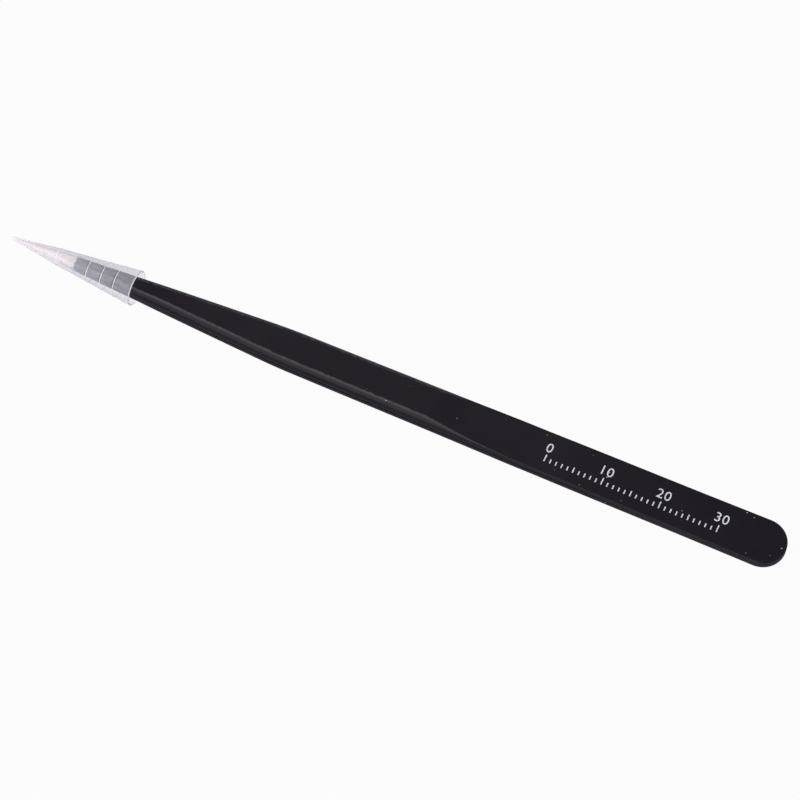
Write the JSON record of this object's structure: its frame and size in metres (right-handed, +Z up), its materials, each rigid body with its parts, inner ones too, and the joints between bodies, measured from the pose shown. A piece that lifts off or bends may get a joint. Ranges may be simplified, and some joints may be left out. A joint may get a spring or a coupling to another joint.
{
  "type": "anti-static tweezers",
  "caption": "Straight fine-point tweezers: sprung, dark-coated steel arms welded at a rounded tail, bare needle tips and a push-on translucent cone guard.",
  "frame": {"origin": "on the middle of the bounding box, at the level of the lowest point of the tip guard's mouth", "axes": "+X runs along the arms from the needle tips to the rounded tail, +Y across the arms, +Z up through the stack of both arms"},
  "size_m": [0.1404, 0.008, 0.0063],
  "materials": {
    "arm_steel": "fine ground",
    "dissipative_coating": "satin",
    "guard_plastic": "frosted, translucent"
  },
  "bodies": {
    "weld": {"weld_spots": "arm_steel"},
    "upper": {"upper_arm": "arm_steel", "upper_coating": "dissipative_coating"},
    "lower": {"lower_arm": "arm_steel", "lower_coating": "dissipative_coating"},
    "guard": {"tip_guard": "guard_plastic"}
  },
  "joints": [
    {"name": "guard_slide", "type": "slide", "parent": "weld", "child": "guard", "axis": [-1, 0, 0], "range_m": [0, 0.042]},
    {"name": "upper_arm_flex", "type": "hinge", "parent": "weld", "child": "upper", "pos_m": [0.07025, 0, 0.00313], "axis": [0, 1, 0], "range_deg": [0, 1.64], "stiffness_Nm_per_rad": 5, "springref_deg": 1.64},
    {"name": "lower_arm_flex", "type": "hinge", "parent": "weld", "child": "lower", "pos_m": [0.07025, 0, 0.00313], "axis": [0, -1, 0], "range_deg": [0, 1.64], "stiffness_Nm_per_rad": 5, "springref_deg": 1.64}
  ],
  "couplings": [
    {"joint": "upper_arm_flex", "follows": "guard_slide", "rad_per_m": 0.6803},
    {"joint": "lower_arm_flex", "follows": "guard_slide", "rad_per_m": 0.6803}
  ]
}
